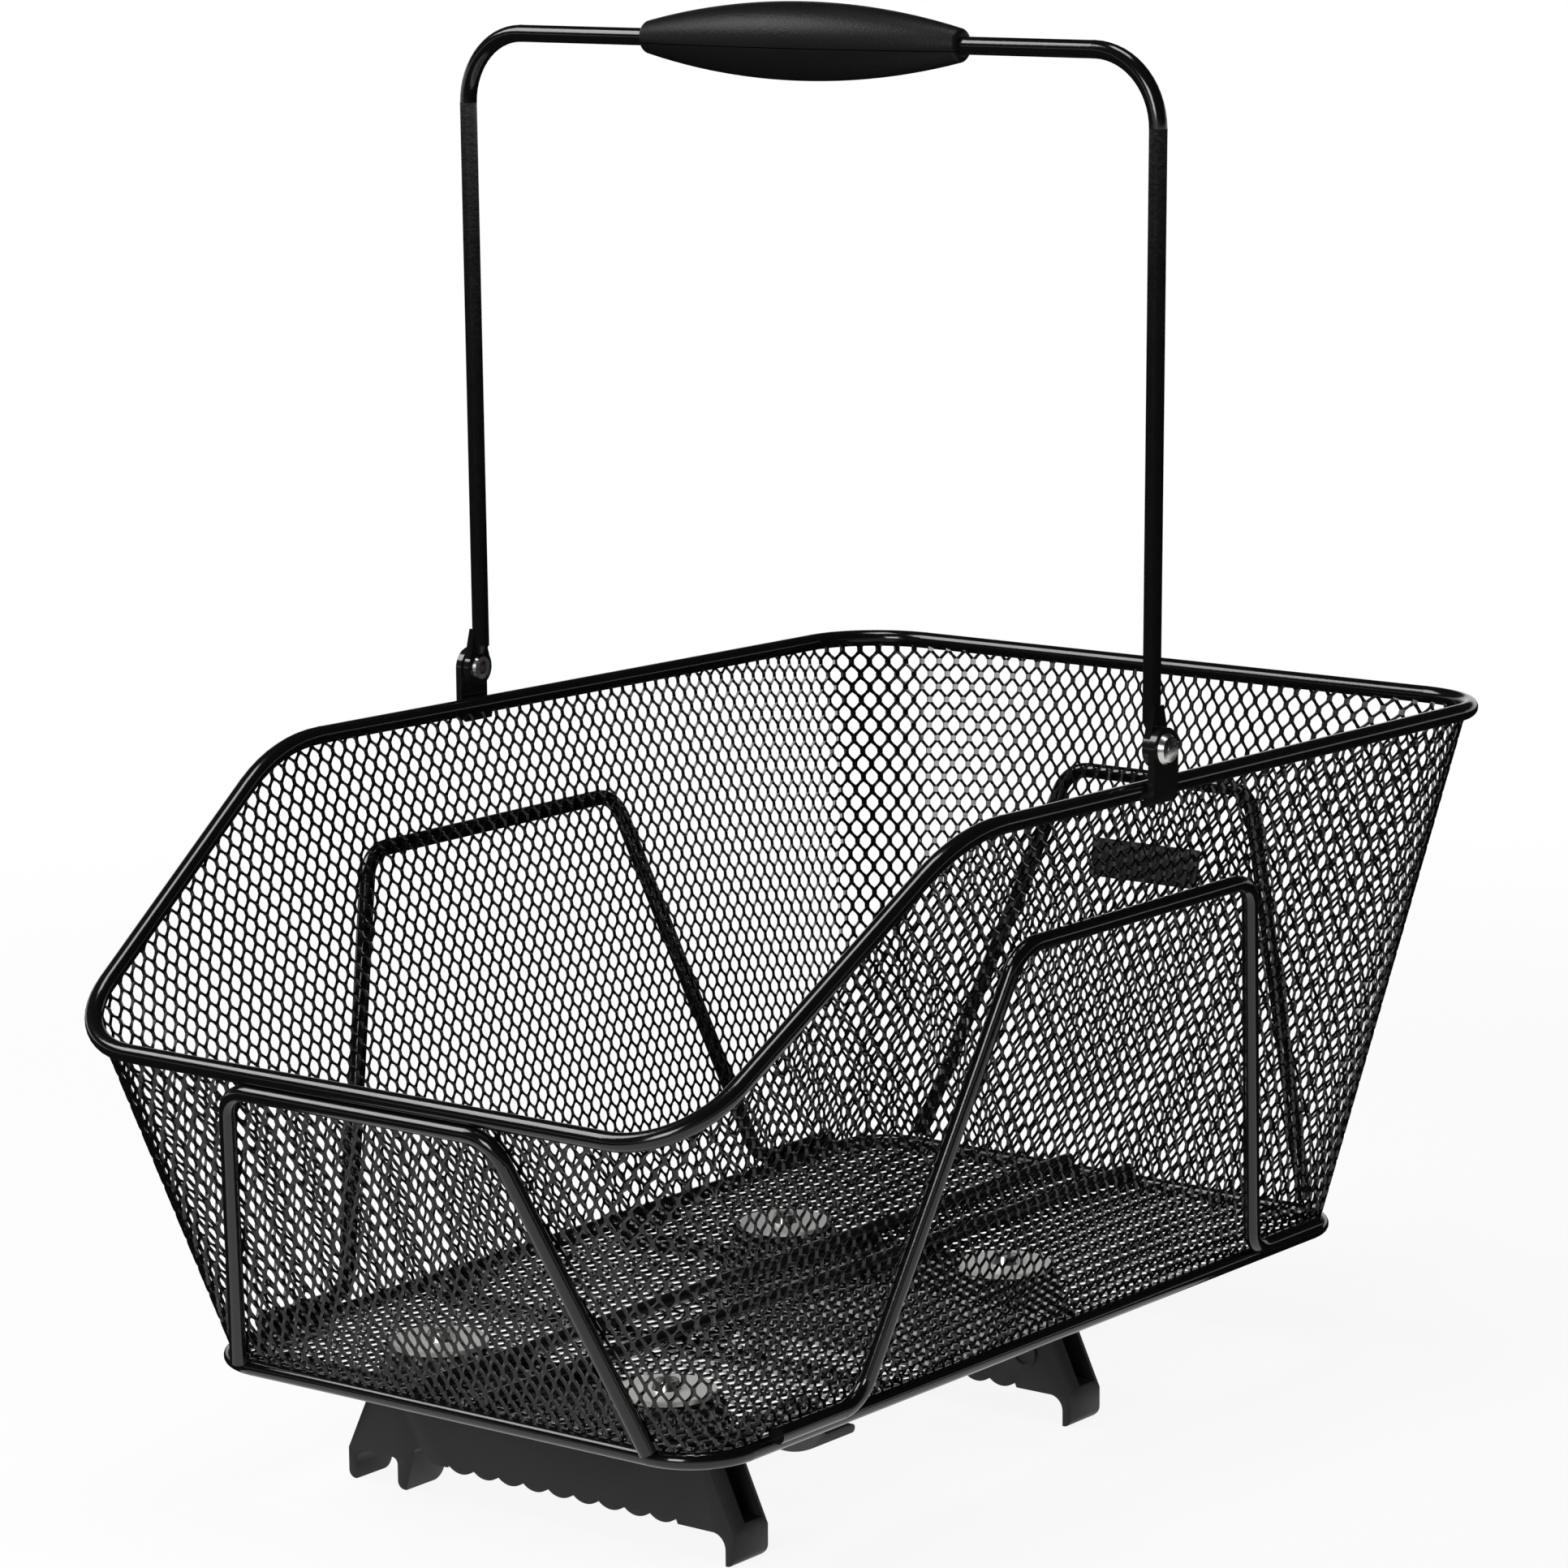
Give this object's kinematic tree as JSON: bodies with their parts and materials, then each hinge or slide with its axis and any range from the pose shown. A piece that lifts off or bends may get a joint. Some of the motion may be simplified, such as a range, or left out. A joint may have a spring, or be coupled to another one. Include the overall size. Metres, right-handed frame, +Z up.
{
  "type": "bicycle rack basket",
  "caption": "Flared black mesh basket with a sloping low end, a fold-down carry handle and two hooked cross rails with a release lever that clip onto a rear rack.",
  "frame": {"origin": "on the level of the rail toes, under the middle of the rim", "axes": "+Z up, +Y towards the high end, +X to the right seen from the low end"},
  "size_m": [0.2686, 0.4111, 0.4356],
  "materials": {
    "frame_coat": "satin black powder coat",
    "mesh_coat": "satin black powder coat",
    "bright_metal": "bright nickel plate",
    "rail_plastic": "fine grained black moulding",
    "lever_plastic": "smooth black moulding",
    "plate_plastic": "smooth black moulding",
    "grip_plastic": "matte black moulding"
  },
  "bodies": {
    "basket": {"rim_wire": "frame_coat", "base_ring": "frame_coat", "front_hoop": "frame_coat", "rear_hoop": "frame_coat", "left_hoop": "frame_coat", "right_hoop": "frame_coat", "left_floor_wire": "frame_coat", "right_floor_wire": "frame_coat", "front_cross_wire": "frame_coat", "middle_cross_wire": "frame_coat", "rear_cross_wire": "frame_coat", "left_ear": "frame_coat", "right_ear": "frame_coat", "front_mesh": "mesh_coat", "rear_mesh": "mesh_coat", "left_mesh": "mesh_coat", "right_mesh": "mesh_coat", "floor_mesh": "mesh_coat", "front_left_corner_mesh": "mesh_coat", "front_right_corner_mesh": "mesh_coat", "rear_left_corner_mesh": "mesh_coat", "rear_right_corner_mesh": "mesh_coat", "left_rivet": "bright_metal", "right_rivet": "bright_metal", "rail_washers": "bright_metal", "rail_screws": "bright_metal", "lever_pin": "bright_metal", "front_rail": "rail_plastic", "rear_rail": "rail_plastic", "rear_plate": "plate_plastic"},
    "handle": {"handle_wire": "frame_coat", "grip_upper": "grip_plastic", "grip_lower": "grip_plastic"},
    "lever": {"release_lever": "lever_plastic"}
  },
  "joints": [
    {"name": "handle_hinge", "type": "hinge", "parent": "basket", "child": "handle", "pos_m": [0, 0.00093, 0.22388], "axis": [1, 0, 0], "range_deg": [-87, 90]},
    {"name": "lever_hinge", "type": "hinge", "parent": "basket", "child": "lever", "pos_m": [0.07047, -0.11707, 0.036], "axis": [-1, 0, 0], "range_deg": [0, 30], "stiffness_Nm_per_rad": 0.25, "springref_deg": -20.05}
  ]
}
